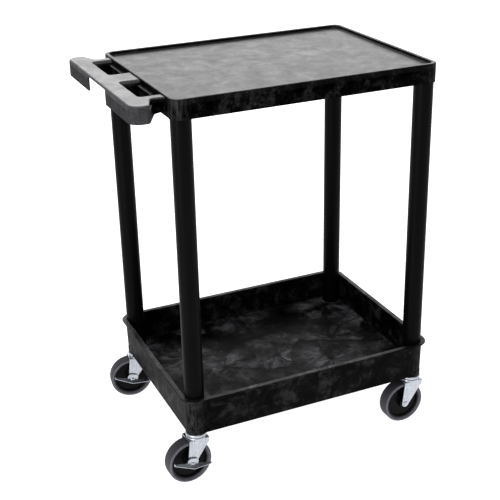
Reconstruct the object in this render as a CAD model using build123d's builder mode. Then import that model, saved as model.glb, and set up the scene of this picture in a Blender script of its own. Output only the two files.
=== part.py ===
from build123d import *
from math import cos, radians, sin
import os

# Rolling utility cart: a flat top shelf with a moulded push handle, a deep tub shelf,
# four round legs and four swivel casters, two of them with a side brake.
# Millimetres, +Z up, floor at Z = 0, handle at -X. The origin is on the floor under the
# middle of the cart's whole length and width.

# Overall sizes
overall_height = 867.0
tub_length = 609.6
tub_width = 457.2
handle_reach = 82.0
wheel_radius = 50.8
caster_height = 120.0

# The handle sticks out past the top shelf at one end, so the shelves sit off the origin
# by half of what it adds to the tub's length.
leg_radius = 21.2
leg_inset = 32.3
leg_cover = 1.8
leg_x = tub_length / 2 - leg_inset
leg_y = tub_width / 2 - leg_inset
deck_length = 2 * (leg_x + leg_radius + leg_cover)
deck_width = 2 * (leg_y + leg_radius + leg_cover)
shelf_x = (deck_length / 2 + handle_reach - tub_length / 2) / 2

# Top shelf
apron_height = 41.0
apron_wall = 4.5
deck_corner = 20.0
lip_height = 7.5
lip_width = 8.5
lip_round = 2.4
deck_edge_round = 3.0
deck_plate = 6.0
deck_top = overall_height - lip_height
deck_underside = deck_top - deck_plate
apron_bottom = overall_height - apron_height
socket_wall = 2.6
socket_play = 0.1
rib_thickness = 3.0
deck_rib_depth = 10.0
rib_columns = 5
rib_rows = 3

# Push handle, moulded in one with the top shelf: a top plate over a thin skirt
handle_drop = 3.0
handle_depth = 35.0
handle_plate = 4.0
handle_wall = 3.5
handle_lid = 9.0
handle_edge_round = 5.0
handle_half_width = 220.0
handle_neck_half_width = 176.0
handle_neck_flare = 4.0
handle_ear = 37.0
handle_ear_slant = 17.0
handle_corner = 23.0
handle_ear_corner = 10.0
handle_neck_corner = 11.0
skirt_neck_half_width = 165.0
skirt_root_half_width = 156.0
skirt_neck = 18.0
handle_bar = 36.0
slot_inner_end = 38.0
slot_outer_end = 148.0
slot_wall_depth = 33.0
slot_corner = 9.0
slot_ledge = 9.0
slot_ledge_drop = 9.0
# How far the rounded ends of a hand hole open out, at each depth below the handle's top
slot_flare = [(0.0, 9.0), (2.0, 5.0), (5.0, 2.2), (10.0, 0.0)]
notch_half_width = 59.0
handle_top = overall_height - handle_drop
handle_bottom = handle_top - handle_depth
deck_end = shelf_x - deck_length / 2
handle_end = deck_end - handle_reach

# Tub shelf
tub_height = 89.0
tub_depth = 71.5
tub_wall = 3.4
rim_proud = 8.5
rim_thickness = 4.0
wall_draft = 1.2
wall_corner = 23.8
tub_bottom_round = 2.5
rim_top_round = 1.6
rim_edge_round = 1.2
floor_thickness = 4.5
floor_fillet = 7.0
tub_rib_depth = 6.0
pocket_floor = 4.0
pocket_play = 0.3
pocket_wall = 1.4
tub_bottom = caster_height
tub_rim = tub_bottom + tub_height
floor_top = tub_rim - tub_depth
floor_underside = floor_top - floor_thickness
leg_bottom = tub_bottom + pocket_floor

# Legs and the plugs that hold the caster stems
leg_wall = 3.0
plug_play = 0.05
plug_length = 50.0
plug_chamfer = 1.5
stem_radius = 5.55
stem_depth = 38.0
stem_point = 1.5
stem_bore_spare = 2.0

# Caster: the swivel axis is the stem, and the axle trails behind it by caster_trail
caster_trail = 22.5
fork_gap = 18.3
fork_plate = 2.5
fork_outside = fork_gap + fork_plate
fork_tip_radius = 8.5
fork_tip_start = 175.0
fork_tip_sweep = 145.0
fork_shoulder = (16.5, 92.0)
fork_round = 2.4
crown_bottom = 104.4
crown_plate = 2.6
crown_front = 21.5
crown_knee = 97.5
crown_back = -25.0
race_top = 110.4
race_radius = 23.0
race_round = 1.8
race_bore = 6.6
ball_radius = 2.38
ball_pitch_radius = 16.0
ball_count = 16
ball_centre = race_top + 1.0
groove_play = 0.3
cup_bottom = 112.2
cup_top = 118.5
cup_radius = 24.0
cup_top_round = 3.0
cup_bottom_round = 1.2
king_pin_radius = 8.0
king_pin_bottom = 101.9
king_pin_top = 103.9
washer_radius = 14.0

# Wheel: the tyre's sides slope in towards the hub, which is a dished disc
tyre_width = 31.75
tyre_bore = 41.5
tyre_side_radius = 45.5
tyre_shoulder = 5.2
hub_face = 11.0
hub_rim = 5.0
hub_slant = 1.5
hub_web = 7.0
hub_boss_radius = 12.5
hub_boss_half_width = 17.8
bushing_radius = 6.2
bushing_bore = 4.05
running_play = 0.05
axle_radius = 3.97
axle_head_radius = 5.6
axle_head = 2.6
axle_head_round = 1.8
nut_across_flats = 12.7
nut_thickness = 6.7
thread_end = 2.0

# Side brake on the two casters at the handle end
brake_washer_radius = 11.0
brake_washer = 2.0
brake_gap = 0.15
pedal_plate = 1.8
pedal_tilt = 14.0
pedal_web_half_width = 13.0
pedal_web_top = 15.0
pedal_web_bottom = -9.0
pedal_web_corner = 8.0
pedal_flange_height = 3.0
pedal_flange_slope = 24.0
pedal_wing = 44.5
pedal_reach = 14.5
pedal_tip_reach = 4.0
pedal_lip = 2.6
head_clearance = 0.3

# Where each caster points at rest, in degrees about its stem
corners = {
    "rear_right": {"x": -1, "y": -1, "swivel": 3.0, "brake": True},
    "rear_left": {"x": -1, "y": 1, "swivel": -8.0, "brake": True},
    "front_right": {"x": 1, "y": -1, "swivel": 1.0, "brake": False},
    "front_left": {"x": 1, "y": 1, "swivel": 4.0, "brake": False},
}

os.makedirs("parts", exist_ok=True)


def write(shape, name):
    shape.label = name
    export_step(shape, f"parts/{name}.step")


def leg_points():
    return [(shelf_x + c["x"] * leg_x, c["y"] * leg_y) for c in corners.values()]


def rib_grid(bottom, length, width):
    """The plan of the stiffening ribs under a shelf: three along it and five across it."""
    with BuildSketch(Plane.XY.offset(bottom)) as grid:
        with Locations((shelf_x, 0)):
            with GridLocations(length / (rib_columns + 1), 1, rib_columns, 1):
                Rectangle(rib_thickness, width)
            with GridLocations(1, width / (rib_rows + 1), 1, rib_rows):
                Rectangle(length, rib_thickness)
    return grid.sketch


def handle_plan(bottom, ear_end, neck, root, neck_x):
    """The plan of the push handle: an ear at each end of the bar, and a neck to the shelf."""
    with BuildSketch(Plane.XY.offset(bottom)) as plan:
        with BuildLine():
            half = Polyline(
                (deck_end + handle_wall, 0),
                (deck_end + handle_wall, root),
                (neck_x, neck),
                (ear_end, handle_half_width),
                (handle_end, handle_half_width),
                (handle_end, 0),
            )
            mirror(half, about=Plane.XZ)
        make_face()
        ends = plan.vertices().group_by(Axis.X)[0]
        fillet(ends, radius=handle_corner)
        fillet([v for v in plan.vertices() if abs(v.X - ear_end) < 1], radius=handle_ear_corner)
        fillet([v for v in plan.vertices() if abs(v.X - neck_x) < 1], radius=handle_neck_corner)
    return plan.sketch


def hollow_plan(bottom, plan):
    """The same plan, one skirt wall smaller all round."""
    with BuildSketch(Plane.XY.offset(bottom)) as inside:
        add(plan)
        offset(amount=-handle_wall, mode=Mode.REPLACE)
    return inside.sketch


# Top shelf with its handle: the handle is shaped first, then the tray block joins it.
ear_end = deck_end - handle_ear - handle_ear_slant / 2
neck_start = ear_end + handle_ear_slant
lid_bottom = handle_top - handle_lid
slot_middle = (slot_inner_end + slot_outer_end) / 2
slot_length = slot_outer_end - slot_inner_end
slot_left = handle_end + handle_bar
slot_width = deck_end + deck_corner - slot_left
slot_x = slot_left + slot_width / 2
with BuildPart() as top_shelf:
    lid_plan = handle_plan(lid_bottom, ear_end, handle_neck_half_width,
                           handle_neck_half_width + handle_neck_flare, neck_start)
    extrude(lid_plan, amount=handle_lid)
    fillet(top_shelf.faces().sort_by(Axis.Z)[-1].edges().filter_by(
        lambda edge: edge.center().X < deck_end - 1), radius=handle_edge_round)
    skirt_plan = handle_plan(handle_bottom, ear_end, skirt_neck_half_width,
                             skirt_root_half_width, deck_end - skirt_neck)
    extrude(skirt_plan, amount=handle_depth - handle_lid)
    # Hollow below: low down the whole inside, and above that all but the hand holes' walls
    extrude(hollow_plan(handle_bottom, skirt_plan), amount=handle_depth - slot_wall_depth,
            mode=Mode.SUBTRACT)
    with BuildSketch(Plane.XY.offset(handle_bottom)) as upper_hollow:
        add(hollow_plan(handle_bottom, skirt_plan))
        for side in (-1, 1):
            with Locations((slot_x, side * slot_middle)):
                Rectangle(slot_width + 2 * handle_wall, slot_length + 2 * handle_wall,
                          mode=Mode.SUBTRACT)
    extrude(upper_hollow.sketch, amount=handle_depth - handle_plate, mode=Mode.SUBTRACT)
    # The two hand holes, with ends that round over into the handle's top
    for side in (-1, 1):
        with BuildSketch(Plane.XY.offset(handle_bottom)) as hand_hole:
            with Locations((slot_x, side * slot_middle)):
                RectangleRounded(slot_width, slot_length, slot_corner)
        extrude(hand_hole.sketch, amount=handle_depth, mode=Mode.SUBTRACT)
        flare_sections = []
        for depth, run in slot_flare:
            with BuildSketch(Plane.XY.offset(handle_top - depth)) as flare_section:
                with Locations((slot_x, side * slot_middle)):
                    RectangleRounded(slot_width, slot_length + 2 * run, slot_corner)
            flare_sections.append(flare_section.sketch)
        loft(flare_sections, ruled=True, mode=Mode.SUBTRACT)
    # A gap in the bar's outer skirt
    with BuildSketch(Plane.XY.offset(handle_bottom)):
        with Locations((handle_end, 0)):
            Rectangle(4 * handle_wall, 2 * notch_half_width)
    extrude(amount=handle_depth - handle_plate, mode=Mode.SUBTRACT)

    # The tray block
    with BuildSketch(Plane.XY.offset(apron_bottom)):
        with Locations((shelf_x, 0)):
            RectangleRounded(deck_length, deck_width, deck_corner)
    extrude(amount=apron_height)
    with BuildSketch(Plane.XY.offset(apron_bottom)):
        with Locations((shelf_x, 0)):
            RectangleRounded(deck_length - 2 * apron_wall, deck_width - 2 * apron_wall,
                             deck_corner - apron_wall)
    extrude(amount=deck_underside - apron_bottom, mode=Mode.SUBTRACT)
    with BuildSketch(Plane.XY.offset(deck_top)):
        with Locations((shelf_x, 0)):
            RectangleRounded(deck_length - 2 * lip_width, deck_width - 2 * lip_width,
                             deck_corner - lip_width / 2)
    extrude(amount=lip_height, mode=Mode.SUBTRACT)
    lip_edges = top_shelf.faces().sort_by(Axis.Z)[-1].edges()
    fillet(lip_edges, radius=lip_round)
    deck_edges = top_shelf.faces().filter_by(Plane.XY).filter_by(
        lambda face: abs(face.center().Z - deck_top) < 0.1).sort_by(SortBy.AREA)[-1].edges()
    fillet(deck_edges, radius=deck_edge_round)
    # A ledge along the shelf's side of each hand hole
    with BuildSketch(Plane.XY.offset(handle_bottom)):
        with Locations((deck_end - slot_ledge / 2, slot_middle),
                       (deck_end - slot_ledge / 2, -slot_middle)):
            Rectangle(slot_ledge, slot_length + 2 * handle_wall)
    extrude(amount=handle_depth - slot_ledge_drop)
    # Leg sockets and ribs underneath
    with BuildSketch(Plane.XY.offset(apron_bottom)):
        with Locations(*leg_points()):
            Circle(leg_radius + socket_wall)
    extrude(amount=deck_underside - apron_bottom)
    extrude(rib_grid(deck_underside - deck_rib_depth, deck_length - apron_wall,
                     deck_width - apron_wall), amount=deck_rib_depth)
    with BuildSketch(Plane.XY.offset(apron_bottom)):
        with Locations(*leg_points()):
            Circle(leg_radius + socket_play)
    extrude(amount=deck_underside - apron_bottom, mode=Mode.SUBTRACT)
write(top_shelf.part, "top_shelf")


# Tub shelf
wall_length = tub_length - 2 * rim_proud
wall_width = tub_width - 2 * rim_proud
draft_run = tub_height * sin(radians(wall_draft))
with BuildPart() as tub_shelf:
    with BuildSketch(Plane.XY.offset(tub_bottom)):
        with Locations((shelf_x, 0)):
            RectangleRounded(wall_length - 2 * draft_run, wall_width - 2 * draft_run,
                             wall_corner - draft_run)
    extrude(amount=tub_height, taper=-wall_draft)
    fillet(tub_shelf.faces().sort_by(Axis.Z)[0].edges(), radius=tub_bottom_round)
    with BuildSketch(Plane.XY.offset(tub_rim - rim_thickness)):
        with Locations((shelf_x, 0)):
            RectangleRounded(tub_length, tub_width, wall_corner + rim_proud)
    extrude(amount=rim_thickness)
    # The tub's inside
    floor_run = tub_depth * sin(radians(wall_draft))
    with BuildSketch(Plane.XY.offset(floor_top)):
        with Locations((shelf_x, 0)):
            RectangleRounded(wall_length - 2 * (tub_wall + floor_run),
                             wall_width - 2 * (tub_wall + floor_run),
                             wall_corner - tub_wall - floor_run)
    extrude(amount=tub_depth, taper=-wall_draft, mode=Mode.SUBTRACT)
    inner_floor = tub_shelf.faces().filter_by(Plane.XY).filter_by(
        lambda face: abs(face.center().Z - floor_top) < 0.1)
    fillet(inner_floor.edges(), radius=floor_fillet)
    fillet(tub_shelf.faces().sort_by(Axis.Z)[-1].edges(), radius=rim_top_round)
    rim_underside = tub_shelf.faces().filter_by(Plane.XY).filter_by(
        lambda face: abs(face.center().Z - tub_rim + rim_thickness) < 0.1)
    fillet(rim_underside.edges().filter_by(
        lambda edge: edge.bounding_box().size.length > wall_corner).group_by(
            SortBy.LENGTH)[-1], radius=rim_edge_round)
    # Recess below the floor, with ribs and a round pocket for each leg
    with BuildSketch(Plane.XY.offset(tub_bottom)):
        with Locations((shelf_x, 0)):
            RectangleRounded(wall_length - 2 * draft_run - 2 * apron_wall,
                             wall_width - 2 * draft_run - 2 * apron_wall,
                             wall_corner - apron_wall)
    extrude(amount=floor_underside - tub_bottom, mode=Mode.SUBTRACT)
    extrude(rib_grid(floor_underside - tub_rib_depth, wall_length - 2 * draft_run - apron_wall,
                     wall_width - 2 * draft_run - apron_wall), amount=tub_rib_depth)
    with BuildSketch(Plane.XY.offset(tub_bottom)):
        with Locations(*leg_points()):
            Circle(leg_radius + pocket_play + pocket_wall)
    extrude(amount=floor_underside - tub_bottom)
    with BuildSketch(Plane.XY.offset(leg_bottom)):
        with Locations(*leg_points()):
            Circle(leg_radius + pocket_play)
    extrude(amount=tub_rim - leg_bottom, mode=Mode.SUBTRACT)
    with BuildSketch(Plane.XY.offset(tub_bottom)):
        with Locations(*leg_points()):
            Circle(stem_radius + pocket_play)
    extrude(amount=pocket_floor, mode=Mode.SUBTRACT)
write(tub_shelf.part, "tub_shelf")


# One leg, plug and stem, built about the leg's own axis
with BuildPart() as leg:
    with BuildSketch(Plane.XY.offset(leg_bottom)):
        Circle(leg_radius)
        Circle(leg_radius - leg_wall, mode=Mode.SUBTRACT)
    extrude(amount=deck_underside - leg_bottom)

with BuildPart() as stem_plug:
    with BuildSketch(Plane.XY.offset(leg_bottom)):
        Circle(leg_radius - leg_wall - plug_play)
    extrude(amount=plug_length)
    chamfer(stem_plug.faces().sort_by(Axis.Z)[-1].edges(), length=plug_chamfer)
    with BuildSketch(Plane.XY.offset(leg_bottom)):
        Circle(stem_radius + plug_play)
    extrude(amount=stem_depth + stem_bore_spare, mode=Mode.SUBTRACT)

with BuildPart() as stem:
    with BuildSketch(Plane.XZ):
        with BuildLine():
            Polyline(
                (0, king_pin_bottom),
                (king_pin_radius, king_pin_bottom),
                (king_pin_radius, king_pin_top),
                (stem_radius, king_pin_top),
                (stem_radius, cup_top),
                (washer_radius, cup_top),
                (washer_radius, caster_height),
                (stem_radius, caster_height),
                (stem_radius, leg_bottom + stem_depth - stem_point),
                (stem_radius - stem_point, leg_bottom + stem_depth),
                (0, leg_bottom + stem_depth),
                close=True,
            )
        make_face()
    revolve(axis=Axis.Z)

with BuildPart() as swivel_cup:
    with BuildSketch(Plane.XY.offset(cup_bottom)):
        Circle(cup_radius)
    extrude(amount=cup_top - cup_bottom)
    fillet(swivel_cup.faces().sort_by(Axis.Z)[-1].edges(), radius=cup_top_round)
    fillet(swivel_cup.faces().sort_by(Axis.Z)[0].edges(), radius=cup_bottom_round)
    with BuildSketch(Plane.XY.offset(cup_bottom)):
        Circle(stem_radius + plug_play)
    extrude(amount=cup_top - cup_bottom, mode=Mode.SUBTRACT)
    with BuildSketch(Plane.XZ):
        with Locations((ball_pitch_radius, ball_centre)):
            Circle(ball_radius + groove_play)
    revolve(axis=Axis.Z, mode=Mode.SUBTRACT)

with BuildPart() as bearing_balls:
    with BuildSketch(Plane.XZ):
        with Locations((ball_pitch_radius, ball_centre)):
            Circle(ball_radius)
        with Locations((ball_pitch_radius, ball_centre)):
            Rectangle(2 * ball_radius, 4 * ball_radius, align=(Align.MAX, Align.CENTER),
                      mode=Mode.SUBTRACT)
    revolve(axis=Axis((ball_pitch_radius, 0, ball_centre), (0, 0, 1)))
    with PolarLocations(0, ball_count - 1, start_angle=360 / ball_count,
                        angular_range=360 * (1 - 2 / ball_count)):
        add(bearing_balls.part)

# Fork: a crown with the lower ball race, and two plates that taper to the axle
axle_z = wheel_radius
with BuildPart() as fork:
    for side in (-1, 1):
        with BuildSketch(Plane.XZ.offset(-side * fork_gap)):
            with BuildLine():
                tip = CenterArc((-caster_trail, axle_z), fork_tip_radius, fork_tip_start,
                                fork_tip_sweep)
                Polyline(
                    tip @ 1,
                    fork_shoulder,
                    (crown_front, crown_knee),
                    (crown_front, crown_bottom + crown_plate),
                    (crown_back, crown_bottom + crown_plate),
                    tip @ 0,
                )
            make_face()
        extrude(amount=-side * fork_plate)
    with BuildSketch(Plane.XY.offset(crown_bottom)):
        with Locations(((crown_front + crown_back) / 2, 0)):
            Rectangle(crown_front - crown_back, 2 * fork_outside)
    extrude(amount=crown_plate)
    fillet(fork.edges().filter_by(Axis.X).group_by(Axis.Z)[-1], radius=fork_round)
    with BuildSketch(Plane.XY.offset(crown_bottom)):
        Circle(race_radius)
    extrude(amount=race_top - crown_bottom)
    fillet(fork.faces().sort_by(Axis.Z)[-1].edges(), radius=race_round)
    with BuildSketch(Plane.XY.offset(crown_bottom)):
        Circle(race_bore)
    extrude(amount=race_top - crown_bottom, mode=Mode.SUBTRACT)
    with BuildSketch(Plane.XZ):
        with Locations((ball_pitch_radius, ball_centre)):
            Circle(ball_radius)
    revolve(axis=Axis.Z, mode=Mode.SUBTRACT)
    with BuildSketch(Plane.XZ.offset(-fork_outside)):
        with Locations((-caster_trail, axle_z)):
            Circle(axle_radius + running_play)
    extrude(amount=2 * fork_outside, mode=Mode.SUBTRACT)

axle_plane = Plane(origin=(-caster_trail, 0, axle_z), x_dir=(1, 0, 0), z_dir=(0, -1, 0))
axle_axis = Axis((-caster_trail, 0, axle_z), (0, 1, 0))
radial_plane = Plane(origin=(-caster_trail, 0, axle_z), x_dir=(0, 0, 1), z_dir=(1, 0, 0))


def section(points):
    """A face beside the axle: each point is a radius and a distance towards -Y."""
    with BuildSketch(radial_plane) as face:
        with BuildLine():
            Polyline(*points, close=True)
        make_face()
    return face.sketch


with BuildPart() as tyre:
    half_width = tyre_width / 2
    revolve(section([
        (tyre_bore, -hub_face),
        (tyre_side_radius, -half_width),
        (wheel_radius, -half_width),
        (wheel_radius, half_width),
        (tyre_side_radius, half_width),
        (tyre_bore, hub_face),
    ]), axis=axle_axis)
    tread_edges = tyre.edges().filter_by(GeomType.CIRCLE).filter_by(
        lambda edge: edge.radius > wheel_radius - 0.1)
    fillet(tread_edges, radius=tyre_shoulder)

with BuildPart() as wheel_hub:
    revolve(section([
        (bushing_radius + running_play, -hub_boss_half_width),
        (hub_boss_radius, -hub_boss_half_width),
        (hub_boss_radius + hub_slant, -hub_web),
        (tyre_bore - hub_rim, -hub_web),
        (tyre_bore - hub_rim + hub_slant, -hub_face),
        (tyre_bore, -hub_face),
        (tyre_bore, hub_face),
        (tyre_bore - hub_rim + hub_slant, hub_face),
        (tyre_bore - hub_rim, hub_web),
        (hub_boss_radius + hub_slant, hub_web),
        (hub_boss_radius, hub_boss_half_width),
        (bushing_radius + running_play, hub_boss_half_width),
    ]), axis=axle_axis)

with BuildPart() as bushing:
    revolve(section([
        (bushing_bore, -fork_gap),
        (bushing_radius, -fork_gap),
        (bushing_radius, fork_gap),
        (bushing_bore, fork_gap),
    ]), axis=axle_axis)

with BuildPart() as axle_nut:
    with BuildSketch(axle_plane.offset(-fork_outside)):
        RegularPolygon(nut_across_flats / 2, 6, major_radius=False)
        Circle(axle_radius + running_play, mode=Mode.SUBTRACT)
    extrude(amount=-nut_thickness)


def axle_bolt(head_y):
    """The axle's shank, with a low domed head whose seat is head_y out from the middle."""
    with BuildPart() as bolt:
        revolve(section([
            (0, -fork_outside - nut_thickness - thread_end),
            (axle_radius, -fork_outside - nut_thickness - thread_end),
            (axle_radius, head_y),
            (axle_head_radius, head_y),
            (axle_head_radius, head_y + axle_head),
            (0, head_y + axle_head),
        ]), axis=axle_axis)
        fillet(bolt.faces().sort_by(Axis.Y)[0].edges(), radius=axle_head_round)
    return bolt.part


# Side brake: a fixed friction washer, and a rocking pedal that turns on the axle
with BuildPart() as brake_washer_part:
    revolve(section([
        (bushing_bore, fork_outside),
        (brake_washer_radius, fork_outside),
        (brake_washer_radius, fork_outside + brake_washer),
        (bushing_bore, fork_outside + brake_washer),
    ]), axis=axle_axis)

pedal_back = fork_outside + brake_washer + brake_gap
pedal_front = pedal_back + pedal_plate
tilt = radians(pedal_tilt)
pedal_along = (cos(tilt), 0, -sin(tilt))
pedal_up = Vector(sin(tilt), 0, cos(tilt))
slope = radians(pedal_flange_slope)
web_plane = Plane(origin=(-caster_trail, -pedal_back, axle_z), x_dir=pedal_along, z_dir=(0, -1, 0))
flange_root = pedal_back + pedal_plate * sin(slope)
flange_origin = Vector(-caster_trail, -flange_root, axle_z) + pedal_up * pedal_flange_height
flange_plane = Plane(origin=flange_origin, x_dir=pedal_along,
                     z_dir=pedal_up * cos(slope) + Vector(0, -sin(slope), 0))
with BuildPart() as brake_pedal:
    with BuildSketch(web_plane):
        with Locations((0, (pedal_web_top + pedal_web_bottom) / 2)):
            RectangleRounded(2 * pedal_web_half_width, pedal_web_top - pedal_web_bottom,
                             pedal_web_corner)
    extrude(amount=pedal_plate)
    with BuildSketch(flange_plane):
        with BuildLine():
            Polyline(
                (-pedal_wing, 0),
                (-pedal_wing, -pedal_tip_reach),
                (0, -pedal_reach),
                (pedal_wing, -pedal_tip_reach),
                (pedal_wing, 0),
                close=True,
            )
        make_face()
    extrude(amount=-pedal_plate)
    # The wing tips turn up
    with BuildSketch(flange_plane):
        for side in (-1, 1):
            with Locations((side * (pedal_wing - pedal_plate / 2), -pedal_tip_reach / 2)):
                Rectangle(pedal_plate, pedal_tip_reach)
    extrude(amount=pedal_lip)
    # Room for the axle and its head, which the pedal rocks round
    with BuildSketch(web_plane):
        Circle(bushing_bore)
    extrude(amount=pedal_plate, mode=Mode.SUBTRACT)
    with BuildSketch(web_plane.offset(pedal_plate)):
        Circle(axle_head_radius + head_clearance)
    extrude(amount=brake_gap + axle_head + head_clearance, mode=Mode.SUBTRACT)


# Every corner: leg, plug and stem stay with the shelves; the rest turns with the caster
for name, corner in corners.items():
    stem_x = shelf_x + corner["x"] * leg_x
    stem_y = corner["y"] * leg_y
    upright = Location((stem_x, stem_y, 0))
    turned_place = Location((stem_x, stem_y, 0), (0, 0, corner["swivel"]))
    write(leg.part.moved(upright), f"{name}_leg")
    write(stem_plug.part.moved(upright), f"{name}_stem_plug")
    write(stem.part.moved(upright), f"{name}_stem")
    write(swivel_cup.part.moved(upright), f"{name}_swivel_cup")
    caster = {
        "bearing_balls": bearing_balls.part,
        "fork": fork.part,
        "bushing": bushing.part,
        "axle_nut": axle_nut.part,
        "wheel_hub": wheel_hub.part,
        "tyre": tyre.part,
    }
    if corner["brake"]:
        caster["axle_bolt"] = axle_bolt(pedal_front + brake_gap)
        caster["brake_washer"] = brake_washer_part.part
        caster["brake_pedal"] = brake_pedal.part
    else:
        caster["axle_bolt"] = axle_bolt(fork_outside)
    for piece, shape in caster.items():
        write(shape.moved(turned_place), f"{name}_{piece}")
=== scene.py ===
import math

import bpy
from mathutils import Matrix, Vector


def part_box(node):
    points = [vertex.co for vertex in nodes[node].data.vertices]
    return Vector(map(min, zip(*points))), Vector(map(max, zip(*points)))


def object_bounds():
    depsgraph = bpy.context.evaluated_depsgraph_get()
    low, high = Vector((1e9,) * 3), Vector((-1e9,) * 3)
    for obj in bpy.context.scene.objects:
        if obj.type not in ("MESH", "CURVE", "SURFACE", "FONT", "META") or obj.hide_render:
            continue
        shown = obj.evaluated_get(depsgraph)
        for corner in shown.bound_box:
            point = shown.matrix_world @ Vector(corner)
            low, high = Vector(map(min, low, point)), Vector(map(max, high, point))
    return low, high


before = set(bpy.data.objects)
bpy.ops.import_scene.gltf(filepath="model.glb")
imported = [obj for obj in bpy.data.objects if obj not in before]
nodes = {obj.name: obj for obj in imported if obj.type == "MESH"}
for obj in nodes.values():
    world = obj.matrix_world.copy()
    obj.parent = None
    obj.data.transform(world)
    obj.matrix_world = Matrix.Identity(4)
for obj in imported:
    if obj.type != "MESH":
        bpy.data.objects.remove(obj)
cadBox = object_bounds()
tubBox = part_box("tub_shelf")
mm = 0.001
corners = ("rear_right", "rear_left", "front_right", "front_left")
print("stage: frame loaded,", len(nodes), "CAD nodes")


def linear(hexColour):
    # sRGB hex to the linear numbers that Blender works in
    parts = [int(hexColour[i:i + 2], 16) / 255 for i in (1, 3, 5)]
    return [c / 12.92 if c <= 0.04045 else ((c + 0.055) / 1.055) ** 2.4 for c in parts] + [1.0]


def connect(tree, node, inputs):
    # An input takes a plain value or another node's output
    for socket, value in inputs.items():
        if isinstance(value, bpy.types.NodeSocket):
            tree.links.new(value, node.inputs[socket])
        else:
            node.inputs[socket].default_value = value


def addNode(tree, kind, inputs=None, stops=(), **settings):
    # One node with its settings and links; stops are the places and colours along a ramp
    node = tree.nodes.new(kind)
    for key, value in settings.items():
        setattr(node, key, value)
    connect(tree, node, inputs or {})
    while stops and len(node.color_ramp.elements) < len(stops):
        node.color_ramp.elements.new(0.5)
    for index, (place, colour) in enumerate(stops):
        node.color_ramp.elements[index].position = place
        node.color_ramp.elements[index].color = linear(colour)
    return node


def newMaterial(name):
    material = bpy.data.materials.new(name)
    material.use_nodes = True
    tree = material.node_tree
    where = addNode(tree, "ShaderNodeTexCoord").outputs["Object"]
    return material, tree, tree.nodes["Principled BSDF"], where


# Moulded structural-foam polyethylene: black and satin. The foaming melt leaves clouds 20 to
# 60 mm across, and star-shaped flow marks where it spread out; the mould has a fine grain.
# The grain is drawn 2 mm coarse, because the real 0.3 mm would not show.
shelfPlastic = {
    "dark": "#000000",
    "middle": "#060606",
    "light": "#242426",
    "cloudSize": 34 * mm,
    "fleckSize": 7 * mm,
    "grainSize": 2 * mm,
    "grainDepth": 0.12 * mm,
    "ior": 1.5,
    "roughSides": 0.46,
    "roughTop": 0.42,
    "unevenness": 0.07,
    "unevenRange": (0.38, 0.66),
    "glossSides": 0.025,
    "cloudStops": (0.42, 0.52, 0.66),
    "upwardRange": (0.35, 0.95),
    "calmOnTop": 0.6,
    "grainStrength": 0.18,
}
starMarks = {
    "colour": "#6c6c70",
    "spacing": 170 * mm,
    "reach": 125 * mm,
    "heart": 14 * mm,
    "bendSize": 60 * mm,
    "bendReach": 30 * mm,
    "raggedSize": 22 * mm,
    "raggedness": 0.6,
    "patchSize": 95 * mm,
    "patchRange": (0.4, 0.62),
    "faintest": 0.12,
    "streaks": 2.3,
    "streakRange": (0.32, 0.74),
    "scatter": 0.8,
    "variety": 9,
    "heartStart": 3 * mm,
    "fadeStart": 0.15,
}
# Lighter upright streaks at the rounded corners: partly mould drag marks, partly painted
# highlight
cornerDragAndHighlight = {
    "colour": "#303032",
    "spacing": 5 * mm,
    "stretch": 0.16,
    "inner": 50 * mm,
    "outer": 14 * mm,
    "range": (0.4, 0.65),
}
handle = {
    # painted highlight: this lighter grey on the handle's outer end stands in for the sheen its
    # skirt catches
    "skin": "#404042",
    "rough": 0.36,
    "gloss": 0.75,
    "edge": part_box("rear_right_leg")[0].x - 3 * mm,  # the shelf ends just outside the legs
    "edgeBlend": 1 * mm,
    "skirt": 40 * mm,
    "skirtBlend": 10 * mm,
    "ledgeDepth": 13 * mm,
    "ledgeBlend": 3 * mm,
    "ledgeGloss": 0.05,
}
deck = {"marks": 0.12, "cloudShare": 0.62, "gloss": 0.5}
tub = {"marks": 1.0, "cloudShare": 0.74, "gloss": shelfPlastic["glossSides"],
       "rimGloss": 0.12, "rimHeight": 5 * mm, "rimBlend": 2 * mm}


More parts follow.
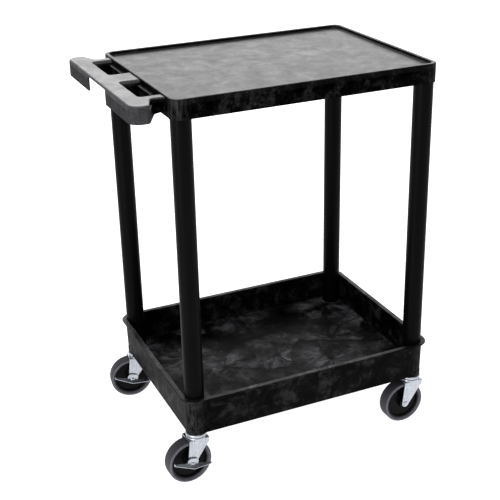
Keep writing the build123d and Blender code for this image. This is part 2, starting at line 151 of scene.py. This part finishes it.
def starFlow(tree, where):
    # Streaks that run out from scattered points on a flat surface, and fade with distance
    s = starMarks
    flat = addNode(tree, "ShaderNodeVectorMath", {0: where, 1: (1, 1, 0)},
                   operation="MULTIPLY").outputs["Vector"]
    bend = addNode(tree, "ShaderNodeTexNoise", {
        "Vector": flat, "Scale": 1 / s["bendSize"], "Detail": 2.0})
    bent = addNode(tree, "ShaderNodeVectorMath", {
        0: bend.outputs["Color"], 1: (s["bendReach"], s["bendReach"], 0), 2: flat},
        operation="MULTIPLY_ADD").outputs["Vector"]
    stars = addNode(tree, "ShaderNodeTexVoronoi", {
        "Vector": bent, "Scale": 1 / s["spacing"], "Randomness": s["scatter"]})
    fromStar = addNode(tree, "ShaderNodeVectorMath", {0: bent, 1: stars.outputs["Position"]},
                       operation="SUBTRACT")
    spoke = addNode(tree, "ShaderNodeVectorMath", {
        0: fromStar.outputs["Vector"], 1: (1, 1, 0)}, operation="MULTIPLY").outputs["Vector"]
    away = addNode(tree, "ShaderNodeVectorMath", {0: spoke},
                   operation="LENGTH").outputs["Value"]
    heading = addNode(tree, "ShaderNodeVectorMath", {0: spoke}, operation="NORMALIZE")

    # Each star has its own streaks, and the melt's swirls tear them
    ownStreaks = addNode(tree, "ShaderNodeVectorMath", {
        0: stars.outputs["Color"], 1: (s["variety"],) * 3, 2: heading.outputs["Vector"]},
        operation="MULTIPLY_ADD")
    swirls = addNode(tree, "ShaderNodeTexNoise", {
        "Vector": flat, "Scale": 1 / s["raggedSize"], "Detail": 3.0})
    torn = addNode(tree, "ShaderNodeVectorMath", {
        0: swirls.outputs["Color"], 1: (s["raggedness"],) * 3, 2: ownStreaks.outputs["Vector"]},
        operation="MULTIPLY_ADD")
    streaks = addNode(tree, "ShaderNodeTexNoise", {
        "Vector": torn.outputs["Vector"], "Scale": s["streaks"], "Detail": 4.0,
        "Roughness": 0.6})
    patches = addNode(tree, "ShaderNodeTexNoise", {
        "Vector": flat, "Scale": 1 / s["patchSize"], "Detail": 4.0, "Roughness": 0.6})

    shares = (
        (away, (s["fadeStart"] * s["reach"], s["reach"]), (1.0, 0.0)),
        (away, (s["heartStart"], s["heart"]), (0.0, 1.0)),
        (patches.outputs["Fac"], s["patchRange"], (s["faintest"], 1.0)),
        (streaks.outputs["Fac"], s["streakRange"], (0.0, 1.0)),
    )
    star = 1.0
    for value, (low, high), (atLow, atHigh) in shares:
        share = addNode(tree, "ShaderNodeMapRange", {
            "Value": value, "From Min": low, "From Max": high, "To Min": atLow,
            "To Max": atHigh}, interpolation_type="SMOOTHSTEP")
        star = addNode(tree, "ShaderNodeMath", {0: star, 1: share.outputs["Result"]},
                       operation="MULTIPLY").outputs["Value"]
    return star


def cornerDragMarksAndHighlight(tree, where, upward):
    # Lighter upright streaks at the rounded corners: partly drag marks where the steep sides left
    # the mould, partly a painted highlight that the rounded corners would catch
    s = cornerDragAndHighlight
    fromMiddle = addNode(tree, "ShaderNodeVectorMath", {
        0: where, 1: tuple((tubBox[0] + tubBox[1]) / 2)}, operation="SUBTRACT")
    at = addNode(tree, "ShaderNodeSeparateXYZ", {0: fromMiddle.outputs["Vector"]})
    stretched = addNode(tree, "ShaderNodeMapping", {
        "Vector": where, "Scale": (1, 1, s["stretch"])})
    lines = addNode(tree, "ShaderNodeTexNoise", {
        "Vector": stretched.outputs["Vector"], "Scale": 1 / s["spacing"], "Detail": 5.0,
        "Roughness": 0.7})
    drawn = addNode(tree, "ShaderNodeMapRange", {
        "Value": lines.outputs["Fac"], "From Min": s["range"][0], "From Max": s["range"][1]})
    upright = addNode(tree, "ShaderNodeMath", {0: 1.0, 1: upward}, operation="SUBTRACT")
    mark = addNode(tree, "ShaderNodeMath", {
        0: drawn.outputs["Result"], 1: upright.outputs["Value"]}, operation="MULTIPLY")
    for axis, half in zip("XY", (tubBox[1] - tubBox[0]) / 2):
        away = addNode(tree, "ShaderNodeMath", {0: at.outputs[axis]}, operation="ABSOLUTE")
        near = addNode(tree, "ShaderNodeMapRange", {
            "Value": away.outputs["Value"], "From Min": half - s["inner"],
            "From Max": half - s["outer"]}, interpolation_type="SMOOTHSTEP")
        mark = addNode(tree, "ShaderNodeMath", {
            0: mark.outputs["Value"], 1: near.outputs["Result"]}, operation="MULTIPLY")
    return mark.outputs["Value"]


def polishRim(tree, where, upward, gloss):
    # The rim bead is smoother than the rest, from the polished groove in the mould
    at = addNode(tree, "ShaderNodeSeparateXYZ", {0: where})
    onRim = addNode(tree, "ShaderNodeMapRange", {
        "Value": at.outputs["Z"], "From Min": tubBox[1].z - tub["rimHeight"],
        "From Max": tubBox[1].z - tub["rimHeight"] + tub["rimBlend"], "To Min": 0.0,
        "To Max": tub["rimGloss"]})
    return addNode(tree, "ShaderNodeMath", {0: onRim.outputs["Result"], 1: upward, 2: gloss},
                   operation="MULTIPLY_ADD").outputs["Value"]


def paintHandleSheenAndPolish(tree, where, upward, flecks, skin, rough, gloss):
    # The handle's outer end gets a painted highlight: a lighter grey that stands in for the sheen
    # its skirt catches.
    # Hands have polished its top; nothing rubs the ledges inside its holes
    h = handle
    at = addNode(tree, "ShaderNodeSeparateXYZ", {0: where})
    onHandle = addNode(tree, "ShaderNodeMapRange", {
        "Value": at.outputs["X"], "From Min": h["edge"], "From Max": h["edge"] + h["edgeBlend"],
        "To Min": 1.0, "To Max": 0.0})
    onSkirt = addNode(tree, "ShaderNodeMapRange", {
        "Value": at.outputs["X"], "From Min": h["edge"] - h["skirt"],
        "From Max": h["edge"] - h["skirt"] + h["skirtBlend"], "To Min": 1.0, "To Max": 0.0})
    # painted highlight: the outer end is mixed toward a lighter grey that stands in for the sheen
    # on its skirt
    paintedSheenShare = addNode(tree, "ShaderNodeMath", {0: onSkirt.outputs["Result"], 1: flecks},
                   operation="MULTIPLY")
    skin = addNode(tree, "ShaderNodeMix", {
        0: paintedSheenShare.outputs["Value"], 6: skin, 7: linear(h["skin"])}, data_type="RGBA")
    polished = addNode(tree, "ShaderNodeMath", {0: onHandle.outputs["Result"], 1: upward},
                       operation="MULTIPLY").outputs["Value"]
    rough = addNode(tree, "ShaderNodeMath", {
        0: polished, 1: h["rough"] - shelfPlastic["roughTop"], 2: rough},
        operation="MULTIPLY_ADD")
    gloss = addNode(tree, "ShaderNodeMath", {
        0: polished, 1: h["gloss"] - deck["gloss"], 2: gloss}, operation="MULTIPLY_ADD")
    rubbed = addNode(tree, "ShaderNodeMapRange", {
        "Value": at.outputs["Z"], "From Min": cadBox[1].z - h["ledgeDepth"],
        "From Max": cadBox[1].z - h["ledgeDepth"] + h["ledgeBlend"],
        "To Min": h["ledgeGloss"], "To Max": 1.0})
    gloss = addNode(tree, "ShaderNodeMath", {
        0: gloss.outputs["Value"], 1: rubbed.outputs["Result"]}, operation="MULTIPLY")
    return skin.outputs[2], rough.outputs["Value"], gloss.outputs["Value"]


def foamPolyethylene(name, piece):
    p = shelfPlastic
    material, tree, shader, where = newMaterial(name)
    clouds = addNode(tree, "ShaderNodeTexNoise", {
        "Vector": where, "Scale": 1 / p["cloudSize"], "Detail": 5.0, "Roughness": 0.62,
        "Distortion": 0.6})
    flecks = addNode(tree, "ShaderNodeTexNoise", {
        "Vector": where, "Scale": 1 / p["fleckSize"], "Detail": 5.0, "Roughness": 0.75})
    grain = addNode(tree, "ShaderNodeTexNoise", {
        "Vector": where, "Scale": 1 / p["grainSize"], "Detail": 3.0, "Roughness": 0.6})
    facing = addNode(tree, "ShaderNodeSeparateXYZ", {
        0: addNode(tree, "ShaderNodeNewGeometry").outputs["Normal"]})
    upward = addNode(tree, "ShaderNodeMapRange", {
        "Value": facing.outputs["Z"], "From Min": p["upwardRange"][0],
        "From Max": p["upwardRange"][1]}).outputs["Result"]

    # Colour: clouds with flecks in them, star marks on what faces up, and lighter upright streaks
    # at the corners, partly drag marks and partly painted highlight
    fleckPart = addNode(tree, "ShaderNodeMath", {
        0: flecks.outputs["Fac"], 1: 1 - piece["cloudShare"]}, operation="MULTIPLY")
    mottle = addNode(tree, "ShaderNodeMath", {
        0: clouds.outputs["Fac"], 1: piece["cloudShare"], 2: fleckPart.outputs["Value"]},
        operation="MULTIPLY_ADD").outputs["Value"]
    clouded = addNode(tree, "ShaderNodeValToRGB", {"Fac": mottle}, stops=list(
        zip(p["cloudStops"], (p["dark"], p["middle"], p["light"]))))
    calm = addNode(tree, "ShaderNodeMath", {0: upward, 1: p["calmOnTop"]}, operation="MULTIPLY")
    settled = addNode(tree, "ShaderNodeMix", {
        0: calm.outputs["Value"], 6: clouded.outputs["Color"], 7: linear(p["dark"])},
        data_type="RGBA")
    stars = addNode(tree, "ShaderNodeMath", {0: starFlow(tree, where), 1: upward},
                    operation="MULTIPLY")
    strength = addNode(tree, "ShaderNodeMath", {0: stars.outputs["Value"], 1: piece["marks"]},
                       operation="MULTIPLY")
    starred = addNode(tree, "ShaderNodeMix", {
        0: strength.outputs["Value"], 6: settled.outputs[2], 7: linear(starMarks["colour"])},
        data_type="RGBA")
    skin = addNode(tree, "ShaderNodeMix", {
        0: cornerDragMarksAndHighlight(tree, where, upward), 6: starred.outputs[2],
        7: linear(cornerDragAndHighlight["colour"])}, data_type="RGBA").outputs[2]

    # Gloss: what faces up is burnished by use, the sides keep the mould's dull skin
    rough = addNode(tree, "ShaderNodeMapRange", {
        "Value": upward, "To Min": p["roughSides"], "To Max": p["roughTop"]}).outputs["Result"]
    gloss = addNode(tree, "ShaderNodeMapRange", {
        "Value": upward, "To Min": p["glossSides"],
        "To Max": piece["gloss"]}).outputs["Result"]
    if piece is tub:
        gloss = polishRim(tree, where, upward, gloss)
    else:
        # this also gives the handle's outer end its painted highlight colour
        skin, rough, gloss = paintHandleSheenAndPolish(tree, where, upward, flecks.outputs["Fac"], skin,
                                        rough, gloss)
    uneven = addNode(tree, "ShaderNodeMapRange", {
        "Value": mottle, "From Min": p["unevenRange"][0], "From Max": p["unevenRange"][1],
        "To Min": p["unevenness"], "To Max": -p["unevenness"]})
    roughness = addNode(tree, "ShaderNodeMath", {0: rough, 1: uneven.outputs["Result"]},
                        operation="ADD")
    bump = addNode(tree, "ShaderNodeBump", {
        "Height": grain.outputs["Fac"], "Strength": p["grainStrength"],
        "Distance": p["grainDepth"]})
    connect(tree, shader, {
        "Base Color": skin, "Roughness": roughness.outputs["Value"], "IOR": p["ior"],
        "Specular IOR Level": gloss, "Normal": bump.outputs["Normal"]})
    return material


legPlastic = {"colour": "#020203", "streak": "#060606", "roughness": 0.4, "ior": 1.53,
              "gloss": 0.03, "lineSpacing": 2.5 * mm, "lineDepth": 0.1 * mm, "lineStrength": 0.06,
              "stretch": 0.01, "streakRange": (0.3, 0.7)}


def extrudedPvc():
    # Extruded rigid PVC tube: even black satin with very faint draw lines along its length,
    # drawn 2.5 mm apart because finer ones would not show
    p = legPlastic
    material, tree, shader, where = newMaterial("extrudedPvcTube")
    stretched = addNode(tree, "ShaderNodeMapping", {
        "Vector": where, "Scale": (1, 1, p["stretch"])})
    lines = addNode(tree, "ShaderNodeTexNoise", {
        "Vector": stretched.outputs["Vector"], "Scale": 1 / p["lineSpacing"], "Detail": 2.0})
    colour = addNode(tree, "ShaderNodeValToRGB", {"Fac": lines.outputs["Fac"]}, stops=list(
        zip(p["streakRange"], (p["colour"], p["streak"]))))
    bump = addNode(tree, "ShaderNodeBump", {
        "Height": lines.outputs["Fac"], "Strength": p["lineStrength"],
        "Distance": p["lineDepth"]})
    connect(tree, shader, {
        "Base Color": colour.outputs["Color"], "Roughness": p["roughness"], "IOR": p["ior"],
        "Specular IOR Level": p["gloss"], "Normal": bump.outputs["Normal"]})
    return material


zincSteel = {"bright": "#b9bdc4", "dull": "#9da1a8", "smooth": 0.26, "rough": 0.38,
             "cloudSize": 7 * mm, "lineSpacing": 0.9 * mm, "lineDepth": 0.1 * mm,
             "lineStrength": 0.06, "stretch": 0.06, "lineShare": 0.65,
             "toneRange": (0.40, 0.60), "roughRange": (0.3, 0.7)}


def zincPlate():
    # Zinc-plated pressed steel, clear passivated: pale blue-white, softly clouded, with the
    # faint upright rolling lines of the sheet, drawn 0.9 mm apart so that they show
    p = zincSteel
    material, tree, shader, where = newMaterial("zincPlatedSteel")
    clouds = addNode(tree, "ShaderNodeTexNoise", {
        "Vector": where, "Scale": 1 / p["cloudSize"], "Detail": 4.0, "Roughness": 0.6})
    stretched = addNode(tree, "ShaderNodeMapping", {
        "Vector": where, "Scale": (1, 1, p["stretch"])})
    lines = addNode(tree, "ShaderNodeTexNoise", {
        "Vector": stretched.outputs["Vector"], "Scale": 1 / p["lineSpacing"], "Detail": 2.0})
    linePart = addNode(tree, "ShaderNodeMath", {0: lines.outputs["Fac"], 1: p["lineShare"]},
                       operation="MULTIPLY")
    mixed = addNode(tree, "ShaderNodeMath", {
        0: clouds.outputs["Fac"], 1: 1 - p["lineShare"], 2: linePart.outputs["Value"]},
        operation="MULTIPLY_ADD")
    colour = addNode(tree, "ShaderNodeValToRGB", {"Fac": mixed.outputs["Value"]}, stops=list(
        zip(p["toneRange"], (p["dull"], p["bright"]))))
    rough = addNode(tree, "ShaderNodeMapRange", {
        "Value": clouds.outputs["Fac"], "From Min": p["roughRange"][0],
        "From Max": p["roughRange"][1], "To Min": p["rough"], "To Max": p["smooth"]})
    bump = addNode(tree, "ShaderNodeBump", {
        "Height": mixed.outputs["Value"], "Strength": p["lineStrength"],
        "Distance": p["lineDepth"]})
    connect(tree, shader, {
        "Base Color": colour.outputs["Color"], "Roughness": rough.outputs["Result"],
        "Metallic": 1.0, "Normal": bump.outputs["Normal"]})
    return material


tyreRubber = {"tread": "#29282d", "wall": "#47464e", "dust": "#59585f", "roughness": 0.6,
              "ior": 1.52, "gloss": 0.2, "dustSize": 14 * mm, "grainSize": 1.2 * mm,
              "grainDepth": 0.1 * mm, "grainStrength": 0.2, "dustRange": (0.35, 0.7),
              "wallRange": (0.35, 0.8)}


def greyRubber():
    # Moulded grey thermoplastic rubber, slightly dusty: matt, faintly purple-grey, and
    # rolled dark on the tread. Its grain is drawn 1.2 mm coarse so that it shows.
    p = tyreRubber
    material, tree, shader, where = newMaterial("mouldedGreyRubber")
    dust = addNode(tree, "ShaderNodeTexNoise", {
        "Vector": where, "Scale": 1 / p["dustSize"], "Detail": 5.0, "Roughness": 0.65})
    walls = addNode(tree, "ShaderNodeValToRGB", {"Fac": dust.outputs["Fac"]}, stops=list(
        zip(p["dustRange"], (p["wall"], p["dust"]))))
    facing = addNode(tree, "ShaderNodeSeparateXYZ", {
        0: addNode(tree, "ShaderNodeTexCoord").outputs["Normal"]})
    sideways = addNode(tree, "ShaderNodeMath", {0: facing.outputs["Y"]}, operation="ABSOLUTE")
    onWall = addNode(tree, "ShaderNodeMapRange", {
        "Value": sideways.outputs["Value"], "From Min": p["wallRange"][0],
        "From Max": p["wallRange"][1]})
    colour = addNode(tree, "ShaderNodeMix", {
        0: onWall.outputs["Result"], 6: linear(p["tread"]), 7: walls.outputs["Color"]},
        data_type="RGBA")
    grain = addNode(tree, "ShaderNodeTexNoise", {"Vector": where, "Scale": 1 / p["grainSize"]})
    bump = addNode(tree, "ShaderNodeBump", {
        "Height": grain.outputs["Fac"], "Strength": p["grainStrength"],
        "Distance": p["grainDepth"]})
    connect(tree, shader, {
        "Base Color": colour.outputs[2], "Roughness": p["roughness"], "IOR": p["ior"],
        "Specular IOR Level": p["gloss"], "Normal": bump.outputs["Normal"]})
    return material


hubPlastic = {"colour": "#020203", "paintedSheenShare": "#0a0a0c", "wearSize": 8 * mm, "roughness": 0.28,
              "ior": 1.49, "gloss": 0.06, "wearRange": (0.4, 0.7)}


def mouldedPolypropylene():
    # Injection-moulded polypropylene: black, glossier than the shelves, with light wear
    p = hubPlastic
    material, tree, shader, where = newMaterial("mouldedPolypropylene")
    wear = addNode(tree, "ShaderNodeTexNoise", {
        "Vector": where, "Scale": 1 / p["wearSize"], "Detail": 4.0})
    colour = addNode(tree, "ShaderNodeValToRGB", {"Fac": wear.outputs["Fac"]}, stops=list(
        zip(p["wearRange"], (p["colour"], p["paintedSheenShare"]))))
    connect(tree, shader, {
        "Base Color": colour.outputs["Color"], "Roughness": p["roughness"], "IOR": p["ior"],
        "Specular IOR Level": p["gloss"]})
    return material


bearingSteel = {"greased": "#8e9096", "clean": "#b9bbc0", "filmSize": 3 * mm,
                "filmRange": (0.4, 0.65), "roughness": 0.18}


def polishedSteel():
    # Polished chrome steel balls and bushings, under a thin film of grease
    p = bearingSteel
    material, tree, shader, where = newMaterial("polishedBearingSteel")
    film = addNode(tree, "ShaderNodeTexNoise", {"Vector": where, "Scale": 1 / p["filmSize"]})
    colour = addNode(tree, "ShaderNodeValToRGB", {"Fac": film.outputs["Fac"]}, stops=list(
        zip(p["filmRange"], (p["greased"], p["clean"]))))
    connect(tree, shader, {
        "Base Color": colour.outputs["Color"], "Roughness": p["roughness"], "Metallic": 1.0})
    return material


finishes = {
    "deck": foamPolyethylene("mouldedFoamPolyethyleneDeck", deck),
    "tub": foamPolyethylene("mouldedFoamPolyethyleneTub", tub),
    "leg": extrudedPvc(),
    "zinc": zincPlate(),
    "rubber": greyRubber(),
    "hub": mouldedPolypropylene(),
    "polished": polishedSteel(),
}
finishOf = {
    "top_shelf": "deck", "tub_shelf": "tub", "leg": "leg", "stem_plug": "hub",
    "stem": "zinc", "swivel_cup": "zinc", "bearing_balls": "polished", "fork": "zinc",
    "bushing": "polished", "axle_nut": "zinc", "axle_bolt": "zinc", "wheel_hub": "hub",
    "tyre": "rubber", "brake_washer": "zinc", "brake_pedal": "zinc",
}
print("stage: materials made")

# Every edge that a tool or a mould leaves gets a small round, in mm
edgeRound = {"fork": 0.5, "brake_pedal": 0.5, "axle_nut": 0.4, "wheel_hub": 0.6,
             "tub_shelf": 0.6, "top_shelf": 0.6, "brake_washer": 0.3, "tyre": 0.6}
sharpestSmooth = math.radians(38)
roundSteps = 2
weldReach = 0.01 * mm


def kindOf(nodeName):
    for corner in corners:
        if nodeName.startswith(corner):
            return nodeName[len(corner) + 1:]
    return nodeName


for name, node in nodes.items():
    kind = kindOf(name)
    node.data.materials.clear()
    node.data.materials.append(finishes[finishOf[kind]])
    weld = node.modifiers.new("weld", "WELD")
    weld.merge_threshold = weldReach
    if kind in edgeRound:
        bevel = node.modifiers.new("edgeRound", "BEVEL")
        bevel.width = edgeRound[kind] * mm
        bevel.segments = roundSteps
        bevel.limit_method = "ANGLE"
        bevel.angle_limit = sharpestSmooth
        bevel.harden_normals = True
print("stage: CAD nodes dressed")

# Studio: a pale floor lit a little from below, a sky that is bright low down and dim above,
# a soft overhead light as wide as a ceiling of diffusers, a big soft box behind that the
# top shelf mirrors, and a tall soft box at the left
studio = {
    "floor": {"colour": "#bcbcbe", "fibre": "#c0c0c2", "fibreSize": 60 * mm,
              "fibreRange": (0.3, 0.7), "radius": 40.0, "sides": 64,
              "glow": 0.98, "roughness": 0.9, "gloss": 0.1},
    "sky": {"low": 1.05, "high": 0.32, "lowTop": 0.1, "highBottom": 0.48},
    "overhead": {"strength": 1.6, "spread": 70, "lean": (14, -10, 0)},
    "behind": {"at": (1.35, 3.0, 2.3), "size": (3.6, 1.9), "power": 52},
    "left": {"at": (-2.6, -1.5, 0.9), "size": (0.8, 1.8), "power": 48},
}
white = (1, 1, 1, 1)
middle = (cadBox[0] + cadBox[1]) / 2


def makeFloor():
    # Frosted acrylic sheet, lit from below: white, matt and even
    s = studio["floor"]
    material, tree, shader, where = newMaterial("litAcrylicFloor")
    fibre = addNode(tree, "ShaderNodeTexNoise", {"Vector": where, "Scale": 1 / s["fibreSize"]})
    colour = addNode(tree, "ShaderNodeValToRGB", {"Fac": fibre.outputs["Fac"]}, stops=list(
        zip(s["fibreRange"], (s["colour"], s["fibre"]))))
    connect(tree, shader, {
        "Base Color": colour.outputs["Color"], "Roughness": s["roughness"],
        "Specular IOR Level": s["gloss"], "Emission Color": white,
        "Emission Strength": s["glow"]})
    turns = [2 * math.pi * i / s["sides"] for i in range(s["sides"])]
    ring = [(s["radius"] * math.cos(t), s["radius"] * math.sin(t), 0) for t in turns]
    mesh = bpy.data.meshes.new("studioFloor")
    mesh.from_pydata(ring, [], [list(range(s["sides"]))])
    mesh.materials.append(material)
    floor = bpy.data.objects.new("studioFloor", mesh)
    floor.location.z = cadBox[0].z
    bpy.context.scene.collection.objects.link(floor)


def addSoftBox(name, target):
    s = studio[name]
    light = bpy.data.lights.new(name, "AREA")
    light.shape = "RECTANGLE"
    light.size, light.size_y = s["size"]
    light.energy = s["power"]
    lamp = bpy.data.objects.new(name, light)
    lamp.location = s["at"]
    lamp.rotation_mode = "QUATERNION"
    lamp.rotation_quaternion = (target - Vector(s["at"])).to_track_quat("-Z", "Y")
    bpy.context.scene.collection.objects.link(lamp)


def addOverhead():
    s = studio["overhead"]
    light = bpy.data.lights.new("overhead", "SUN")
    light.energy = s["strength"]
    light.angle = math.radians(s["spread"])
    lamp = bpy.data.objects.new("overhead", light)
    lamp.rotation_euler = [math.radians(a) for a in s["lean"]]
    bpy.context.scene.collection.objects.link(lamp)


def makeSky():
    s = studio["sky"]
    world = bpy.data.worlds.new("softSky")
    bpy.context.scene.world = world
    world.use_nodes = True
    tree = world.node_tree
    direction = addNode(tree, "ShaderNodeSeparateXYZ", {
        0: addNode(tree, "ShaderNodeTexCoord").outputs["Generated"]})
    strength = addNode(tree, "ShaderNodeMapRange", {
        "Value": direction.outputs["Z"], "From Min": s["lowTop"], "From Max": s["highBottom"],
        "To Min": s["low"], "To Max": s["high"]}, interpolation_type="SMOOTHSTEP")
    connect(tree, tree.nodes["Background"], {
        "Color": white, "Strength": strength.outputs["Result"]})


makeFloor()
addOverhead()
addSoftBox("left", middle)
addSoftBox("behind", Vector((0, 0, cadBox[1].z)))
makeSky()

# Camera: how it is turned, in degrees, and where it looks from the middle of the cart's box
cameraSet = {"turn": -23.844, "height": 24.128, "roll": -1.321, "distance": 2.3991,
             "lens": 75.322, "sensor": 36.0, "aim": (-0.0122, 0.0, -0.0079),
             "nearest": 0.05, "farthest": 100}


def placeCamera():
    c = cameraSet
    turn, height, roll = (math.radians(c[k]) for k in ("turn", "height", "roll"))
    back = Vector((math.sin(turn) * math.cos(height), -math.cos(turn) * math.cos(height),
                   math.sin(height)))
    right = Vector((math.cos(turn), math.sin(turn), 0))
    up = back.cross(right)
    across = right * math.cos(roll) + up * math.sin(roll)
    upward = up * math.cos(roll) - right * math.sin(roll)
    camera = bpy.data.objects.new("camera", bpy.data.cameras.new("camera"))
    camera.data.lens = c["lens"]
    camera.data.sensor_width = c["sensor"]
    camera.data.clip_start, camera.data.clip_end = c["nearest"], c["farthest"]
    axes = Matrix((across, upward, back)).transposed().to_4x4()
    place = middle + Vector(c["aim"]) + back * c["distance"]
    camera.matrix_world = Matrix.Translation(place) @ axes
    bpy.context.scene.collection.objects.link(camera)
    bpy.context.scene.camera = camera


placeCamera()
bpy.context.scene.view_settings.view_transform = "Standard"
print("stage: studio and camera ready")
